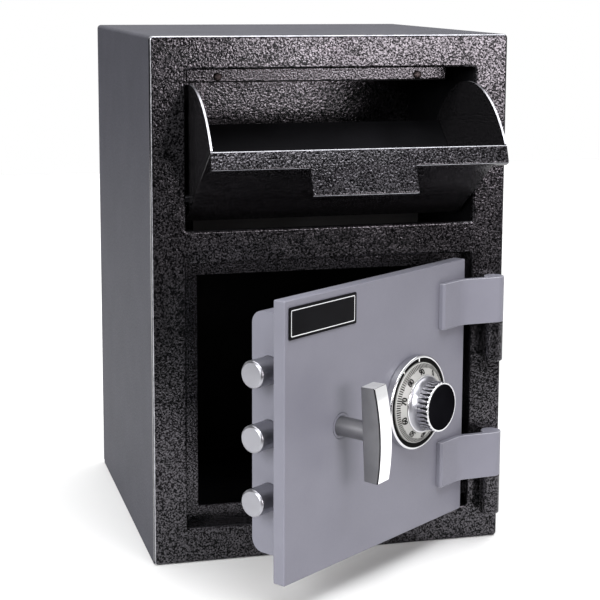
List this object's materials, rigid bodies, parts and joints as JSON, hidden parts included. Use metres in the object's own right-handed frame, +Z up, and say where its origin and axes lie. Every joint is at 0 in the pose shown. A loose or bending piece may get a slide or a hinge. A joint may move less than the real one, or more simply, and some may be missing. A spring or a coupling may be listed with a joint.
{
  "type": "drop safe",
  "caption": "Steel drop safe: a tilt-out deposit hopper above a hinged vault door with locking bolts, T handle and combination dial.",
  "frame": {"origin": "middle of the underside of the body, at floor level", "axes": "+X to the right as seen from the front, +Y from the front into the safe, +Z up"},
  "size_m": [0.356, 0.532, 0.514],
  "materials": {
    "side_paint": "smooth satin paint",
    "hammer_paint": "black hammertone paint",
    "inner_paint": "black textured paint",
    "door_paint": "light grey satin paint",
    "bolt_steel": "ground steel",
    "chrome": "polished chrome plate",
    "dial_silver": "satin anodised",
    "cap_plastic": "gloss black",
    "plate_black": "black anodised, blank",
    "zinc": "zinc plated",
    "brass": "plain brass",
    "rubber": "black rubber strip"
  },
  "bodies": {
    "body": {"body_wrap": "side_paint", "back_panel": "side_paint", "base_panel": "inner_paint", "front_frame": "hammer_paint", "door_stop_frame": "hammer_paint", "partition_shelf": "inner_paint", "hopper_bumper": "rubber", "chute_wall_left": "inner_paint", "chute_wall_right": "inner_paint", "chute_back_wall": "hammer_paint", "header_strip": "hammer_paint", "header_angle": "inner_paint", "header_screw_1": "zinc", "header_screw_2": "zinc", "hopper_pin_left": "zinc", "hopper_pin_right": "zinc", "hopper_stop_left": "zinc", "hopper_stop_right": "zinc", "hinge_barrel_lower": "hammer_paint", "hinge_barrel_upper": "hammer_paint", "hinge_pin_lower": "bolt_steel", "hinge_pin_upper": "bolt_steel"},
    "door": {"door_plate": "door_paint", "nameplate": "plate_black", "handle_bushing": "door_paint", "bolt_housing": "door_paint", "housing_cover": "door_paint", "cover_screw_1": "zinc", "cover_screw_2": "zinc", "cover_screw_3": "zinc", "cover_screw_4": "zinc", "bolt_guide": "zinc", "hinge_strap_lower": "door_paint", "hinge_strap_upper": "door_paint", "dial_ring": "chrome", "lock_case": "zinc", "lock_cover": "zinc", "wheel_post": "brass"},
    "bolts": {"bolt_lower": "bolt_steel", "bolt_middle": "bolt_steel", "bolt_upper": "bolt_steel", "bolt_carriage": "zinc"},
    "handle": {"handle": "chrome", "handle_crank": "zinc", "handle_nut": "zinc"},
    "dial": {"dial_disc": "dial_silver", "dial_knob": "chrome", "dial_cap": "cap_plastic", "dial_spindle": "brass", "drive_cam": "brass"},
    "wheel_1": {"lock_wheel_1": "brass"},
    "wheel_2": {"lock_wheel_2": "brass"},
    "wheel_3": {"lock_wheel_3": "brass"},
    "lock_bolt": {"lock_bolt": "brass", "lock_lever": "brass"},
    "hopper": {"hopper_panel": "hammer_paint", "hopper_lip": "hammer_paint", "hopper_tray": "inner_paint", "hopper_side_left": "hammer_paint", "hopper_side_right": "hammer_paint"}
  },
  "joints": [
    {"name": "hopper_tilt", "type": "hinge", "parent": "body", "child": "hopper", "pos_m": [0, -0.166, 0.35881], "axis": [1, 0, 0], "range_deg": [-57.7, 0]},
    {"name": "door_swing", "type": "hinge", "parent": "body", "child": "door", "pos_m": [0.165, -0.1885, 0], "axis": [0, 0, 1], "range_deg": [-36, 134]},
    {"name": "bolt_slide", "type": "slide", "parent": "door", "child": "bolts", "axis": [0.809, 0.5878, 0], "range_m": [0, 0.025]},
    {"name": "handle_turn", "type": "hinge", "parent": "door", "child": "handle", "pos_m": [-0.02756, -0.30677, 0.16626], "axis": [-0.5878, 0.809, 0], "range_deg": [0, 90]},
    {"name": "dial_spin", "type": "hinge", "parent": "door", "child": "dial", "pos_m": [0.06281, -0.24111, 0.16626], "axis": [-0.5878, 0.809, 0], "continuous": true},
    {"name": "wheel_1_spin", "type": "hinge", "parent": "door", "child": "wheel_1", "pos_m": [0.06281, -0.24111, 0.16626], "axis": [-0.5878, 0.809, 0], "continuous": true},
    {"name": "wheel_2_spin", "type": "hinge", "parent": "door", "child": "wheel_2", "pos_m": [0.06281, -0.24111, 0.16626], "axis": [-0.5878, 0.809, 0], "continuous": true},
    {"name": "wheel_3_spin", "type": "hinge", "parent": "door", "child": "wheel_3", "pos_m": [0.06281, -0.24111, 0.16626], "axis": [-0.5878, 0.809, 0], "continuous": true},
    {"name": "lock_bolt_slide", "type": "slide", "parent": "door", "child": "lock_bolt", "axis": [0, 0, 1], "range_m": [0, 0.009]}
  ],
  "couplings": [
    {"joint": "handle_turn", "follows": "bolt_slide", "rad_per_m": 62.83},
    {"joint": "wheel_1_spin", "follows": "dial_spin", "ratio": 1},
    {"joint": "wheel_2_spin", "follows": "dial_spin", "ratio": 1},
    {"joint": "wheel_3_spin", "follows": "dial_spin", "ratio": 1}
  ]
}
